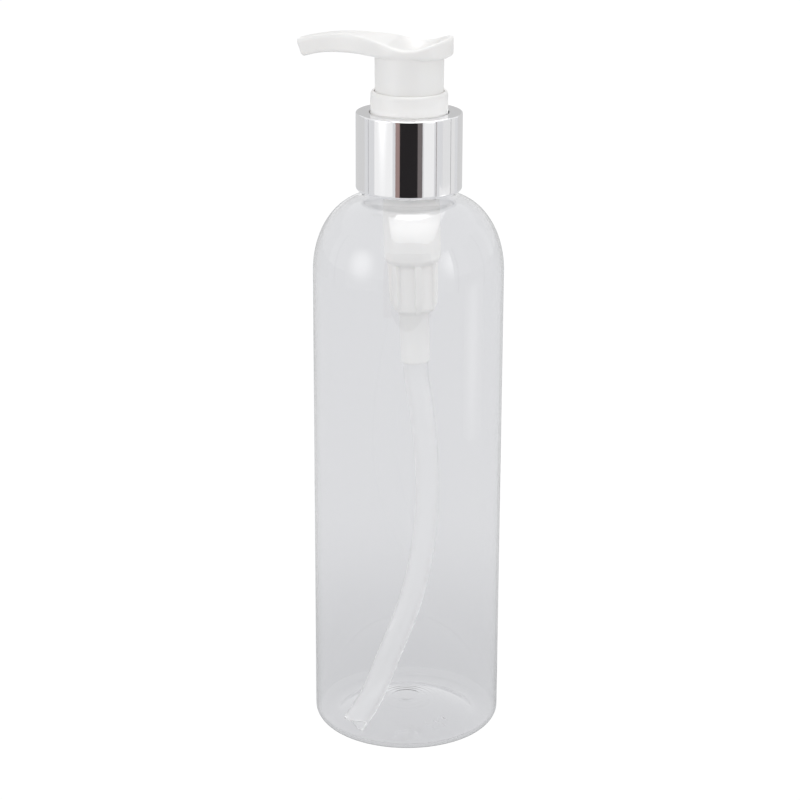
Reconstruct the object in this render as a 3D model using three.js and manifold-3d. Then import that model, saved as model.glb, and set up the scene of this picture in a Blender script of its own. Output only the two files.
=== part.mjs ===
// Soap pump dispenser: a clear 250 ml bottle with a 24/410 neck, closed by a lotion pump.
// Units are millimetres and +Z is up. The origin is the centre of the base, on the surface
// that the bottle stands on. The spout points along -X at rest.
import * as THREE from 'three';
import { mergeVertices } from 'three/addons/utils/BufferGeometryUtils.js';
import Module from 'manifold-3d';

const wasm = await Module();
wasm.setup();

// ---- driving dimensions ------------------------------------------------------------------

const GAP = 0.3; // clearance between pieces that touch

// bottle
const BOTTLE_R = 25.4;
const WALL = 0.65;
const BASE_WALL = 0.8;
const HEEL_WIDTH = 4.9;
const HEEL_HEIGHT = 3.9;
const PUSH_UP = 5.0; // height of the hollow under the base
const FOOT_WIDTH = 1.1; // flat ring that the bottle stands on
const SHOULDER_Z = 129.8; // where the straight wall ends
const SHOULDER_WIDTH = 14.4;
const SHOULDER_HEIGHT = 20.0;
const NECK_R = 10.8;
const NECK_BORE_R = 9.2;
const NECK_ROOT_Z = 150.4;
const FINISH_TOP_Z = 165.6;
const NECK_BEAD_R = 12.0;
const NECK_BEAD_Z = 153.4;

// 24/410 thread: 8 turns per inch, one and a half turns
const THREAD_PITCH = 3.175;
const THREAD_TURNS = 1.5;
const THREAD_DEPTH = 1.2;
const THREAD_ROOT_WIDTH = 1.6;
const THREAD_CREST_WIDTH = 0.8;
const THREAD_START_Z = 158.2;
const THREAD_START = THREE.MathUtils.degToRad(3);

// collar shell over the screw cap
const SHELL_R = 14.0;
const SHELL_SHEET = 0.35;
const SHELL_BOTTOM_Z = 151.7;
const SHELL_TOP_Z = 172.3;
const SHELL_HEM = 0.8; // radius of the rolled lower edge
const SHELL_HOLE_R = 10.5;
const CAP_BORE_R = 12.35;
const CAP_TOP_THICKNESS = 1.3;
const CAP_HOLE_R = 10.45;
const CAP_TOP_Z = SHELL_TOP_Z - SHELL_SHEET - GAP;
const CAP_CEILING_Z = CAP_TOP_Z - CAP_TOP_THICKNESS;

// pump body, whose barrel hangs with a slight lean below its flange
const LEAN = THREE.MathUtils.degToRad(1.8);
const LEAN_AZIMUTH = THREE.MathUtils.degToRad(15);
const LEAN_PIVOT_Z = 168;
const GASKET_THICKNESS = 1.0;
const FLANGE_R = 11.6;
const FLANGE_BOTTOM_Z = FINISH_TOP_Z + GASKET_THICKNESS + 2 * GAP;
const POCKET_R = 10.75;
const POCKET_FLOOR_Z = FLANGE_BOTTOM_Z + 0.7;
const BARREL_R = 7.55;
const BARREL_BORE_R = 6.55;
const BARREL_BOTTOM_Z = 133.4;
const CORE_R = 5.6;
const CORE_BORE_R = 4.7;
const CORE_BOTTOM_Z = 118.2;
const RIB_COUNT = 6;
const RIB_WIDTH = 1.7;
const RIB_TOP_R = 6.85;
const RIB_BOTTOM_R = 6.5;
const RIB_BOTTOM_Z = 121.2;
const RIB_PHASE = THREE.MathUtils.degToRad(-62.5);
const VENT_Z = 160.7; // between the lips of the resting piston
const SOCKET_R = 4.05;
const SOCKET_TIP_R = 3.88;
const SOCKET_BOTTOM_Z = 104.4;

// valve, spring and piston inside the barrel
const CAGE_STEP_Z = 124.9; // ledge that the ball retainer sits on
const SEAT_Z = 118.5;
const BALL_R = 2.4;
const BALL_Z = 121.15;
const SPRING_WIRE = 0.9;
const SPRING_R = 3.85;
const SPRING_BOTTOM_Z = 126.8;
const SPRING_TOP_Z = 155.7;
const SPRING_TURNS = 8;
const ROD_FLANGE_Z = 156.0;
const PISTON_BOTTOM_Z = 158.3;
const PISTON_TOP_Z = 163.0;
const PISTON_R = 6.2;
const STEM_R = 3.0;
const STEM_BORE_R = 1.9;

// lock ring
const RING_R = 10.15;
const RING_BORE_R = 9.3;
const RING_TOP_Z = 177.9;
const RING_FLOOR_TOP_Z = 169.0;

// pump head
const SKIRT_TOP_R = 9.05;
const SKIRT_BOTTOM_R = 8.95;
const SKIRT_BORE_R = 7.9;
const SKIRT_BOTTOM_Z = 177.2;
const HEAD_UNDERSIDE_Z = 187.2;
const HEAD_ROOF_Z = 185.8; // ceiling of the hollow under the thumb pad
const SPOUT_BORE_R = 1.3;

// dip tube
const TUBE_R = 3.25;
const TUBE_BORE_R = 2.3;
const TUBE_AZIMUTH = THREE.MathUtils.degToRad(57.5); // upright plane that the tube curls in
const TUBE_TOP_Z = 115.8;
const TUBE_NOTCH = 3.4; // depth of the V cut at the foot

const ROUND = 40; // sides of the large round pieces
const SMALL_ROUND = 24; // sides of the pieces inside the pump

// ---- helpers -----------------------------------------------------------------------------

function toSolid(geometry) {
  const bare = geometry.clone();
  bare.deleteAttribute('normal');
  bare.deleteAttribute('uv');
  const merged = mergeVertices(bare, 1e-4);
  const corners = merged.index.array;
  const triVerts = [];
  for (let i = 0; i < corners.length; i += 3) {
    const [a, b, c] = corners.slice(i, i + 3);
    if (a !== b && b !== c && c !== a) triVerts.push(a, b, c);
  }
  return new wasm.Manifold(new wasm.Mesh({
    numProp: 3,
    vertProperties: new Float32Array(merged.attributes.position.array),
    triVerts: new Uint32Array(triVerts),
  }));
}

function toGeometry(solid) {
  const mesh = solid.getMesh();
  const geometry = new THREE.BufferGeometry();
  geometry.setAttribute('position', new THREE.BufferAttribute(mesh.vertProperties, 3));
  geometry.setIndex(new THREE.BufferAttribute(mesh.triVerts, 1));
  geometry.computeVertexNormals();
  return geometry;
}

// Turns an outline of [radius, z] points about the Z axis. A ring's outline closes on itself.
function turned(outline, sides = SMALL_ROUND) {
  const onAxis = outline[0][0] === 0;
  const closed = onAxis ? outline : [...outline, outline[0]];
  const points = closed.map(([r, z]) => new THREE.Vector2(r, z));
  if (THREE.ShapeUtils.area(points) < 0) points.reverse();
  return toSolid(new THREE.LatheGeometry(points, sides).rotateX(Math.PI / 2));
}

function ring(innerR, outerR, bottomZ, topZ, sides = SMALL_ROUND) {
  return turned([[innerR, bottomZ], [outerR, bottomZ], [outerR, topZ], [innerR, topZ]], sides);
}

function disc(radius, bottomZ, topZ, sides = SMALL_ROUND) {
  return turned([[0, bottomZ], [radius, bottomZ], [radius, topZ], [0, topZ]], sides);
}

function block(sizeX, sizeY, sizeZ, x, y, z) {
  return toSolid(new THREE.BoxGeometry(sizeX, sizeY, sizeZ).translate(x, y, z));
}

// Points of an elliptical arc in the [radius, z] plane; angles are in degrees from +radius.
function arc(centreR, centreZ, sizeR, sizeZ, fromDeg, toDeg, steps) {
  const points = [];
  for (let i = 0; i <= steps; i += 1) {
    const angle = THREE.MathUtils.degToRad(THREE.MathUtils.lerp(fromDeg, toDeg, i / steps));
    points.push([centreR + sizeR * Math.cos(angle), centreZ + sizeZ * Math.sin(angle)]);
  }
  return points;
}

// A screw ridge: a straight bar of trapezoid section, wound up a helix. Positive depth stands
// outwards from the root radius and negative depth inwards. Both ends run out to nothing.
function screwRidge(rootR, depth, startZ) {
  const buried = -0.4 * Math.sign(depth);
  const rootHalf = THREAD_ROOT_WIDTH / 2;
  const crestHalf = THREAD_CREST_WIDTH / 2;
  const section = new THREE.Shape();
  section.moveTo(buried, -rootHalf);
  section.lineTo(depth, -crestHalf);
  section.lineTo(depth, crestHalf);
  section.lineTo(buried, rootHalf);
  const steps = THREAD_TURNS * ROUND;
  const bar = new THREE.ExtrudeGeometry(section, { depth: THREAD_TURNS, steps, bevelEnabled: false });
  const position = bar.attributes.position;
  for (let i = 0; i < position.count; i += 1) {
    const turns = THREAD_TURNS - position.getZ(i);
    const runOut = Math.min(1, 0.4 + 4 * Math.min(turns, THREAD_TURNS - turns));
    const across = position.getX(i);
    const radius = rootR + (Math.abs(across - depth) < 1e-4 ? depth * runOut : across);
    const angle = THREAD_START + turns * 2 * Math.PI;
    const z = startZ + turns * THREAD_PITCH + position.getY(i);
    position.setXYZ(i, radius * Math.cos(angle), radius * Math.sin(angle), z);
  }
  return toSolid(bar);
}

// The barrel and all that is inside it are drawn upright, and this matrix leans them about
// the point on the axis at the flange.
const leanAxis = new THREE.Vector3(-Math.sin(LEAN_AZIMUTH), Math.cos(LEAN_AZIMUTH), 0);
const leanMatrix = new THREE.Matrix4()
  .makeTranslation(0, 0, LEAN_PIVOT_Z)
  .multiply(new THREE.Matrix4().makeRotationAxis(leanAxis, -LEAN))
  .multiply(new THREE.Matrix4().makeTranslation(0, 0, -LEAN_PIVOT_Z));

function leaned(solid) {
  return toSolid(toGeometry(solid).applyMatrix4(leanMatrix));
}

// ---- bottle ------------------------------------------------------------------------------

function bottle() {
  const heelR = BOTTLE_R - HEEL_WIDTH;
  const shoulderR = BOTTLE_R - SHOULDER_WIDTH;
  const domeR = 40.3;
  const domeZ = PUSH_UP - domeR;
  const outside = [
    [0, PUSH_UP - 0.7],
    [1.5, PUSH_UP - 0.6],
    [2.2, PUSH_UP],
    ...arc(0, domeZ, domeR, domeR, 81, 62.5, 3),
    [heelR - FOOT_WIDTH, 0],
    ...arc(heelR, HEEL_HEIGHT, HEEL_WIDTH, HEEL_HEIGHT, -90, 0, 4),
    ...arc(shoulderR, SHOULDER_Z, SHOULDER_WIDTH, SHOULDER_HEIGHT, 0, 84, 9),
    [NECK_R, NECK_ROOT_Z],
    [NECK_R, NECK_BEAD_Z - 0.6],
    [NECK_BEAD_R, NECK_BEAD_Z],
    [NECK_BEAD_R, NECK_BEAD_Z + 0.8],
    [NECK_R, NECK_BEAD_Z + 1.3],
    [NECK_R, FINISH_TOP_Z - 0.3],
    [NECK_R - 0.3, FINISH_TOP_Z],
  ];
  const inside = [
    [NECK_BORE_R, FINISH_TOP_Z],
    [NECK_BORE_R, NECK_ROOT_Z],
    ...arc(shoulderR, SHOULDER_Z, SHOULDER_WIDTH - WALL, SHOULDER_HEIGHT - WALL, 84, 0, 6),
    ...arc(heelR, HEEL_HEIGHT, HEEL_WIDTH - WALL, HEEL_HEIGHT - WALL, 0, -90, 3),
    ...arc(0, domeZ, domeR + BASE_WALL, domeR + BASE_WALL, 62.5, 84, 3),
    [0, PUSH_UP + BASE_WALL],
  ];
  const thread = screwRidge(NECK_R, THREAD_DEPTH, THREAD_START_Z);
  return turned([...outside, ...inside], ROUND).add(thread);
}

// ---- closure -----------------------------------------------------------------------------

function closureCap() {
  const outerR = SHELL_R - SHELL_SHEET - GAP;
  const bottomZ = SHELL_BOTTOM_Z + SHELL_HEM + 0.5;
  const body = turned([
    [CAP_BORE_R, bottomZ],
    [outerR, bottomZ],
    [outerR, CAP_TOP_Z - 0.5],
    [outerR - 0.5, CAP_TOP_Z],
    [CAP_HOLE_R, CAP_TOP_Z],
    [CAP_HOLE_R, CAP_CEILING_Z],
    [CAP_BORE_R, CAP_CEILING_Z],
  ], ROUND);
  const thread = screwRidge(CAP_BORE_R, -THREAD_DEPTH + GAP / 2, THREAD_START_Z - THREAD_PITCH / 2);
  return body.add(thread);
}

function collarShell() {
  const innerR = SHELL_R - SHELL_SHEET;
  const hemZ = SHELL_BOTTOM_Z + SHELL_HEM;
  const hemR = SHELL_R - SHELL_HEM;
  const hemInner = SHELL_HEM - SHELL_SHEET;
  return turned([
    ...arc(hemR, hemZ, SHELL_HEM, SHELL_HEM, -80, 0, 4),
    ...arc(SHELL_R - 0.5, SHELL_TOP_Z - 0.5, 0.5, 0.5, 0, 90, 2),
    [SHELL_HOLE_R, SHELL_TOP_Z],
    [SHELL_HOLE_R, SHELL_TOP_Z - SHELL_SHEET],
    [innerR - 0.15, SHELL_TOP_Z - SHELL_SHEET],
    [innerR, SHELL_TOP_Z - SHELL_SHEET - 0.15],
    ...arc(hemR, hemZ, hemInner, hemInner, 0, -80, 4),
  ], ROUND);
}

function neckGasket() {
  const bottomZ = FINISH_TOP_Z + GAP;
  return ring(8.3, NECK_R + 0.4, bottomZ, bottomZ + GASKET_THICKNESS, ROUND);
}

// ---- pump body ---------------------------------------------------------------------------

function rib(index) {
  const profile = new THREE.Shape();
  profile.moveTo(CORE_BORE_R - 1, BARREL_BOTTOM_Z);
  profile.lineTo(CORE_BORE_R - 1, CORE_BOTTOM_Z + 0.2);
  profile.lineTo(SOCKET_R, CORE_BOTTOM_Z + 0.2);
  profile.lineTo(RIB_BOTTOM_R, RIB_BOTTOM_Z);
  profile.lineTo(RIB_TOP_R, BARREL_BOTTOM_Z);
  const plate = new THREE.ExtrudeGeometry(profile, { depth: RIB_WIDTH, bevelEnabled: false });
  plate.translate(0, 0, -RIB_WIDTH / 2);
  plate.rotateX(Math.PI / 2);
  plate.rotateZ(RIB_PHASE + index * (2 * Math.PI / RIB_COUNT));
  return toSolid(plate);
}

function barrelOutside() {
  let outside = turned([
    [0, SOCKET_BOTTOM_Z],
    [SOCKET_TIP_R - 0.5, SOCKET_BOTTOM_Z],
    [SOCKET_TIP_R - 0.15, SOCKET_BOTTOM_Z + 0.2],
    [SOCKET_TIP_R, SOCKET_BOTTOM_Z + 0.7],
    [SOCKET_R, CORE_BOTTOM_Z],
    [CORE_R, CORE_BOTTOM_Z + 1.2],
    [CORE_R, BARREL_BOTTOM_Z - 1.4],
    [RIB_TOP_R, BARREL_BOTTOM_Z - 1.2],
    [BARREL_R, BARREL_BOTTOM_Z],
    [BARREL_R, LEAN_PIVOT_Z - 0.5],
    [0, LEAN_PIVOT_Z - 0.5],
  ]);
  for (let i = 0; i < RIB_COUNT; i += 1) outside = outside.add(rib(i));
  return outside;
}

function barrelInside() {
  const stopZ = TUBE_TOP_Z + GAP;
  const bore = turned([
    [0, SOCKET_BOTTOM_Z - 1],
    [TUBE_R + 0.15, SOCKET_BOTTOM_Z - 1],
    [TUBE_R + 0.15, stopZ],
    [1.7, stopZ + 0.3],
    [1.7, SEAT_Z],
    [3.6, SEAT_Z + 2.2],
    [3.6, CAGE_STEP_Z - 0.2],
    [CORE_BORE_R, CAGE_STEP_Z - 0.2],
    [CORE_BORE_R, BARREL_BOTTOM_Z + 0.2],
    [BARREL_BORE_R, BARREL_BOTTOM_Z + 1.6],
    [BARREL_BORE_R, LEAN_PIVOT_Z + 3],
    [0, LEAN_PIVOT_Z + 3],
  ]);
  const vent = toSolid(new THREE.CylinderGeometry(0.6, 0.6, 4, 10).translate(0, BARREL_R, VENT_Z));
  return { bore, vent };
}

function pumpHousing() {
  const flange = disc(FLANGE_R, FLANGE_BOTTOM_Z, CAP_CEILING_Z - GAP, ROUND);
  const pocket = disc(POCKET_R, POCKET_FLOOR_Z, CAP_CEILING_Z + 1, ROUND);
  const { bore, vent } = barrelInside();
  return leaned(barrelOutside()).add(flange).subtract(pocket).subtract(leaned(bore.add(vent)));
}

function lockRing() {
  const innerTubeR = 4.7;
  const outerTubeR = 5.6;
  return turned([
    [STEM_R + 0.4, POCKET_FLOOR_Z + GAP],
    [RING_R, POCKET_FLOOR_Z + GAP],
    [RING_R, RING_TOP_Z - 1.4],
    ...arc(RING_R - 0.75, RING_TOP_Z - 1.2, 0.75, 1.2, 15, 90, 4),
    [RING_BORE_R, RING_TOP_Z - 0.1],
    [RING_BORE_R, RING_FLOOR_TOP_Z],
    [outerTubeR, RING_FLOOR_TOP_Z],
    [outerTubeR, RING_TOP_Z - 2.6],
    [innerTubeR, RING_TOP_Z - 2.6],
    [innerTubeR, RING_FLOOR_TOP_Z],
    [STEM_R + 0.4, RING_FLOOR_TOP_Z],
  ], ROUND);
}

function inletBall() {
  return toSolid(new THREE.SphereGeometry(BALL_R, 16, 10).rotateX(Math.PI / 2).translate(0, 0, BALL_Z));
}

// A notched washer that keeps the ball near its seat and carries the foot of the spring.
function ballRetainer() {
  const outerR = CORE_BORE_R - GAP;
  let retainer = ring(1.6, outerR, CAGE_STEP_Z + 0.1, SPRING_BOTTOM_Z - GAP);
  for (let i = 0; i < 4; i += 1) {
    const notch = block(1.6, 1.6, 4, outerR, 0, CAGE_STEP_Z + 1).rotate([0, 0, 90 * i]);
    retainer = retainer.subtract(notch);
  }
  return retainer;
}

// Centre line of the spring wire: the first and last turns lie close, the rest are open.
class SpringLine extends THREE.Curve {
  getPoint(t, target = new THREE.Vector3()) {
    const closePitch = SPRING_WIRE + 0.15;
    const height = SPRING_TOP_Z - SPRING_BOTTOM_Z - SPRING_WIRE;
    const openTurns = SPRING_TURNS - 2;
    const openPitch = (height - 2 * closePitch) / openTurns;
    const turns = t * SPRING_TURNS;
    const open = THREE.MathUtils.clamp(turns - 1, 0, openTurns);
    const z = SPRING_BOTTOM_Z + SPRING_WIRE / 2 + (turns - open) * closePitch + open * openPitch;
    const angle = turns * 2 * Math.PI;
    return target.set(SPRING_R * Math.cos(angle), SPRING_R * Math.sin(angle), z);
  }
}

function returnSpring() {
  const section = new THREE.Shape();
  section.absarc(0, 0, SPRING_WIRE / 2, 0, 2 * Math.PI);
  return toSolid(new THREE.ExtrudeGeometry(section, {
    extrudePath: new SpringLine(),
    steps: SPRING_TURNS * 10,
    curveSegments: 3,
  }));
}

function pistonRod() {
  return turned([
    [0, ROD_FLANGE_Z - 2.5],
    [2.5, ROD_FLANGE_Z - 2.5],
    [2.9, ROD_FLANGE_Z - 2.0],
    [2.9, ROD_FLANGE_Z],
    [5.2, ROD_FLANGE_Z],
    [5.2, ROD_FLANGE_Z + 1.0],
    [3.9, ROD_FLANGE_Z + 1.9],
    [1.4, ROD_FLANGE_Z + 2.1],
    [1.4, PISTON_TOP_Z + 3.5],
    [0, PISTON_TOP_Z + 4],
  ]);
}

// Two thin lips seal on the barrel and a waist joins them; the bore is free on the stem.
function piston() {
  return turned([
    [3.55, PISTON_BOTTOM_Z + 0.6],
    [4.2, PISTON_BOTTOM_Z],
    [5.3, PISTON_BOTTOM_Z + 0.5],
    [PISTON_R, PISTON_BOTTOM_Z],
    [PISTON_R, PISTON_BOTTOM_Z + 0.8],
    [5.6, PISTON_BOTTOM_Z + 1.5],
    [5.6, PISTON_TOP_Z - 1.4],
    [PISTON_R, PISTON_TOP_Z - 0.6],
    [PISTON_R, PISTON_TOP_Z],
    [5.2, PISTON_TOP_Z - 0.8],
    [3.55, PISTON_TOP_Z - 0.8],
  ]);
}

function stem() {
  const topZ = HEAD_ROOF_Z - 1.8;
  const collarZ = PISTON_TOP_Z + 1.4;
  const tube = turned([
    [STEM_BORE_R, PISTON_BOTTOM_Z + 0.4],
    [STEM_R, PISTON_BOTTOM_Z + 0.4],
    [STEM_R, collarZ],
    [4.4, collarZ],
    [4.4, collarZ + 0.9],
    [STEM_R, collarZ + 1.4],
    [STEM_R, topZ - 0.4],
    [STEM_R - 0.4, topZ],
    [STEM_BORE_R, topZ],
  ]);
  const port = block(1.3, 8, 1.6, 0, 0, PISTON_BOTTOM_Z + 1.0);
  return tube.subtract(port);
}

// ---- pump head ---------------------------------------------------------------------------

// Side view of the head in X and Z: drooping spout, low saddle over the axis, raised lip.
function headSideView() {
  const side = new THREE.Shape();
  side.moveTo(-28.4, 186.0);
  side.splineThru([[-24.5, 186.8], [-19, 187.3], [-13, HEAD_UNDERSIDE_Z + 0.15]].map(toVector2));
  side.lineTo(-8.6, HEAD_UNDERSIDE_Z);
  side.lineTo(11.2, HEAD_UNDERSIDE_Z);
  side.lineTo(11.4, 191.5);
  side.lineTo(10.8, 191.9);
  side.splineThru([
    [8.0, 191.35], [5.0, 190.2], [2.2, 189.4], [0, 189.3], [-2.4, 189.75], [-5.4, 190.7],
    [-9.0, 191.5], [-15.5, 192.25], [-21, 192.0], [-26, 191.2], [-30.0, 190.2],
  ].map(toVector2));
  return side;
}

// Plan view of the head in X and Y: a round thumb pad that narrows to the spout.
function headPlanView() {
  const half = [
    [-31, 2.4], [-24, 2.8], [-17, 3.5], [-12.5, 4.8], [-9, 6.4], [-5.5, 8.3], [-2, 9.35],
    [1.5, 9.4], [5, 8.9], [8.3, 7.3], [10.4, 4.6], [11.3, 1.5],
  ];
  const mirrored = half.map(([x, y]) => [x, -y]).reverse();
  const plan = new THREE.Shape();
  plan.moveTo(...half[0]);
  plan.splineThru(half.slice(1).map(toVector2));
  plan.lineTo(...mirrored[0]);
  plan.splineThru(mirrored.slice(1).map(toVector2));
  return plan;
}

function toVector2([x, y]) {
  return new THREE.Vector2(x, y);
}

function headBlock() {
  const side = new THREE.ExtrudeGeometry(headSideView(), {
    depth: 24, curveSegments: 3, bevelEnabled: false,
  });
  side.translate(0, 0, -12).rotateX(Math.PI / 2);
  const plan = new THREE.ExtrudeGeometry(headPlanView(), {
    depth: 12, curveSegments: 3, bevelEnabled: false,
  });
  plan.translate(0, 0, 182);
  return toSolid(side).intersect(toSolid(plan));
}

function spoutBore() {
  const route = new THREE.CatmullRomCurve3([
    new THREE.Vector3(0, 0, 185.5),
    new THREE.Vector3(-4, 0, 186.3),
    new THREE.Vector3(-8, 0, 188.3),
    new THREE.Vector3(-12, 0, 189.5),
    new THREE.Vector3(-20, 0, 189.7),
    new THREE.Vector3(-27, 0, 188.8),
    new THREE.Vector3(-32, 0, 187.7),
  ]);
  const section = new THREE.Shape();
  section.absarc(0, 0, SPOUT_BORE_R, 0, 2 * Math.PI);
  return toSolid(new THREE.ExtrudeGeometry(section, { extrudePath: route, steps: 14, curveSegments: 4 }));
}

function actuatorHead() {
  const skirt = turned([
    [0, SKIRT_BOTTOM_Z],
    [SKIRT_BOTTOM_R, SKIRT_BOTTOM_Z],
    [SKIRT_TOP_R, HEAD_UNDERSIDE_Z],
    [SKIRT_TOP_R, HEAD_UNDERSIDE_Z + 1.4],
    [0, HEAD_UNDERSIDE_Z + 1.4],
  ], ROUND);
  const hollow = disc(SKIRT_BORE_R, SKIRT_BOTTOM_Z - 1, HEAD_ROOF_Z, ROUND);
  const boss = disc(4.3, SKIRT_BOTTOM_Z + 1.4, HEAD_ROOF_Z + 0.5);
  const duct = block(7, 4.8, 2.4, -5, 0, HEAD_ROOF_Z - 0.8);
  const stemBore = disc(STEM_R + GAP, SKIRT_BOTTOM_Z - 1, HEAD_ROOF_Z - 1.5);
  const chamber = disc(STEM_BORE_R, SKIRT_BOTTOM_Z, HEAD_ROOF_Z + 0.8);
  return headBlock().add(skirt).subtract(hollow).add(boss).add(duct)
    .subtract(stemBore).subtract(chamber).subtract(spoutBore());
}

// ---- dip tube ----------------------------------------------------------------------------

// The tube leaves the socket along the barrel's lean, bows one way and then sweeps down to
// the opposite edge of the base. Each entry is [distance along the plane, height].
const TUBE_ROUTE = [
  [0.7, 98], [2.1, 91.5], [4.2, 76.5], [4.7, 66], [3.9, 54], [-0.6, 37], [-9.4, 21], [-15.8, 10.6],
  [-22.4, 3.9],
];

function tubeLine() {
  const leanPoint = (z) => new THREE.Vector3(0, 0, z).applyMatrix4(leanMatrix);
  const mouth = leanPoint(SOCKET_BOTTOM_Z);
  const route = TUBE_ROUTE.map(([along, z]) => new THREE.Vector3(
    mouth.x + along * Math.cos(TUBE_AZIMUTH),
    mouth.y + along * Math.sin(TUBE_AZIMUTH),
    z,
  ));
  return new THREE.CatmullRomCurve3([
    leanPoint(TUBE_TOP_Z),
    leanPoint((TUBE_TOP_Z + SOCKET_BOTTOM_Z) / 2),
    mouth,
    ...route,
  ]);
}

function dipTube() {
  const line = tubeLine();
  const section = new THREE.Shape();
  section.absarc(0, 0, TUBE_R, 0, 2 * Math.PI);
  const bore = new THREE.Path();
  bore.absarc(0, 0, TUBE_BORE_R, 0, 2 * Math.PI, true);
  section.holes.push(bore);
  const tube = toSolid(new THREE.ExtrudeGeometry(section, {
    extrudePath: line, steps: 28, curveSegments: 5,
  }));
  return tube.subtract(footNotch(line));
}

// A wedge across the foot, with its edge pointing up the tube and lying in the tube's plane.
function footNotch(line) {
  const wedge = new THREE.Shape();
  wedge.moveTo(0, -TUBE_NOTCH);
  wedge.lineTo(-TUBE_R - 1, 1.2);
  wedge.lineTo(TUBE_R + 1, 1.2);
  const notch = new THREE.ExtrudeGeometry(wedge, { depth: 12, bevelEnabled: false }).translate(0, 0, -6);
  const along = line.getTangent(1);
  const sideways = new THREE.Vector3(-Math.sin(TUBE_AZIMUTH), Math.cos(TUBE_AZIMUTH), 0);
  const across = new THREE.Vector3().crossVectors(sideways, along);
  const frame = new THREE.Matrix4().makeBasis(sideways, along, across);
  notch.applyMatrix4(frame.setPosition(line.getPoint(1)));
  return toSolid(notch);
}

// ---- the dispenser -----------------------------------------------------------------------

const clearPet = new THREE.MeshStandardMaterial({
  color: 0xd3d8da, roughness: 0.05, metalness: 0, transparent: true, opacity: 0.3,
});
const whitePlastic = new THREE.MeshStandardMaterial({ color: 0xf2f2f0, roughness: 0.35, metalness: 0 });
const milkyPlastic = new THREE.MeshStandardMaterial({ color: 0xe6e7e4, roughness: 0.4, metalness: 0 });
const polishedAluminium = new THREE.MeshStandardMaterial({ color: 0xdedfe1, roughness: 0.06, metalness: 1 });
const springSteel = new THREE.MeshStandardMaterial({ color: 0xb9bbbd, roughness: 0.25, metalness: 1 });
const softSeal = new THREE.MeshStandardMaterial({ color: 0xe9e9e6, roughness: 0.6, metalness: 0 });
const clearTube = new THREE.MeshStandardMaterial({
  color: 0xe4e8ea, roughness: 0.3, metalness: 0, transparent: true, opacity: 0.5,
});

function piece(name, solid, material) {
  const mesh = new THREE.Mesh(toGeometry(solid), material);
  mesh.name = name;
  return mesh;
}

const dispenser = new THREE.Group();
dispenser.add(
  piece('bottle', bottle(), clearPet),
  piece('closure_cap', closureCap(), whitePlastic),
  piece('collar_shell', collarShell(), polishedAluminium),
  piece('neck_gasket', neckGasket(), softSeal),
  piece('pump_housing', pumpHousing(), milkyPlastic),
  piece('lock_ring', lockRing(), whitePlastic),
  piece('actuator_head', actuatorHead(), whitePlastic),
  piece('stem', stem(), whitePlastic),
  piece('dip_tube', dipTube(), clearTube),
);

// Pieces inside the barrel share its lean.
const barrelContents = new THREE.Group();
barrelContents.applyMatrix4(leanMatrix);
barrelContents.add(
  piece('piston', piston(), softSeal),
  piece('piston_rod', pistonRod(), whitePlastic),
  piece('return_spring', returnSpring(), springSteel),
  piece('ball_retainer', ballRetainer(), milkyPlastic),
  piece('inlet_ball', inletBall(), springSteel),
);
dispenser.add(barrelContents);

export default dispenser;
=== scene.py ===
import math

import bpy
import numpy as np
from mathutils import Matrix, Vector


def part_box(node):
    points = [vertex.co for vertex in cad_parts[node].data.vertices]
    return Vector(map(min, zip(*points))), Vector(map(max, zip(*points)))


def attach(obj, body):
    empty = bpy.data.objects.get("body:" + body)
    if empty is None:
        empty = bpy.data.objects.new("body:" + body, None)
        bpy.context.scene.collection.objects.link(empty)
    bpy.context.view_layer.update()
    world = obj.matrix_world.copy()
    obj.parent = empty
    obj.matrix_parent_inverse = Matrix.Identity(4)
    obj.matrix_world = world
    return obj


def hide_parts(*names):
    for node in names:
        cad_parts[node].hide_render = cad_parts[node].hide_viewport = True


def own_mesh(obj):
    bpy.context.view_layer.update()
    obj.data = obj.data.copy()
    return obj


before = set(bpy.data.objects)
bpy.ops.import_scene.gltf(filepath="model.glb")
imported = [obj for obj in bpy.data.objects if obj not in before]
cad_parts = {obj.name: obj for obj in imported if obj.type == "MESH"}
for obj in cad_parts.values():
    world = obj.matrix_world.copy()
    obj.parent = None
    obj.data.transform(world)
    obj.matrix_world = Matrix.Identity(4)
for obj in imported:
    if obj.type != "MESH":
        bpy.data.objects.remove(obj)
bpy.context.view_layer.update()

# A clear bottle with a lotion pump. The fine meshes are made here in millimetres, in the
# frame's own axes, and stored in metres. Sizes come from the CAD nodes' boxes where a box
# gives them; the rest are the design's own sizes, named below.

MM = 0.001
scene = bpy.context.scene


def box_mm(node):
    """Lowest and highest corner of a CAD node, in millimetres."""
    low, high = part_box(node)
    return low / MM, high / MM


def radius_of(node):
    """Radius of a round CAD node."""
    low, high = box_mm(node)
    return (high.y - low.y) / 2


# ---- sizes -------------------------------------------------------------------------------

BOTTLE_R = radius_of("bottle")
FINISH_TOP = box_mm("bottle")[1].z
SHELL_R = radius_of("collar_shell")
SHELL_BOTTOM = box_mm("collar_shell")[0].z
SHELL_TOP = box_mm("collar_shell")[1].z
RING_R = radius_of("lock_ring")
RING_BOTTOM = box_mm("lock_ring")[0].z
RING_TOP = box_mm("lock_ring")[1].z
SKIRT_BOTTOM = box_mm("actuator_head")[0].z
SPOUT_END = box_mm("actuator_head")[0].x
LIP_END = box_mm("actuator_head")[1].x
SOCKET_BOTTOM = box_mm("pump_housing")[0].z
SPRING_BOTTOM = 126.8
SPRING_TOP = 155.7

GAP = 0.3
WALL = 0.65
BASE_WALL = 0.8
HEEL_WIDTH = 4.9
HEEL_HEIGHT = 3.9
PUSH_UP = 5.0
DOME_R = 40.3
SHOULDER_Z = 129.8
SHOULDER_WIDTH = 14.4
SHOULDER_HEIGHT = 20.0
NECK_R = 10.8
NECK_BORE_R = 9.2
NECK_BEAD_R = 12.0
NECK_BEAD_Z = 153.4

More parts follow.
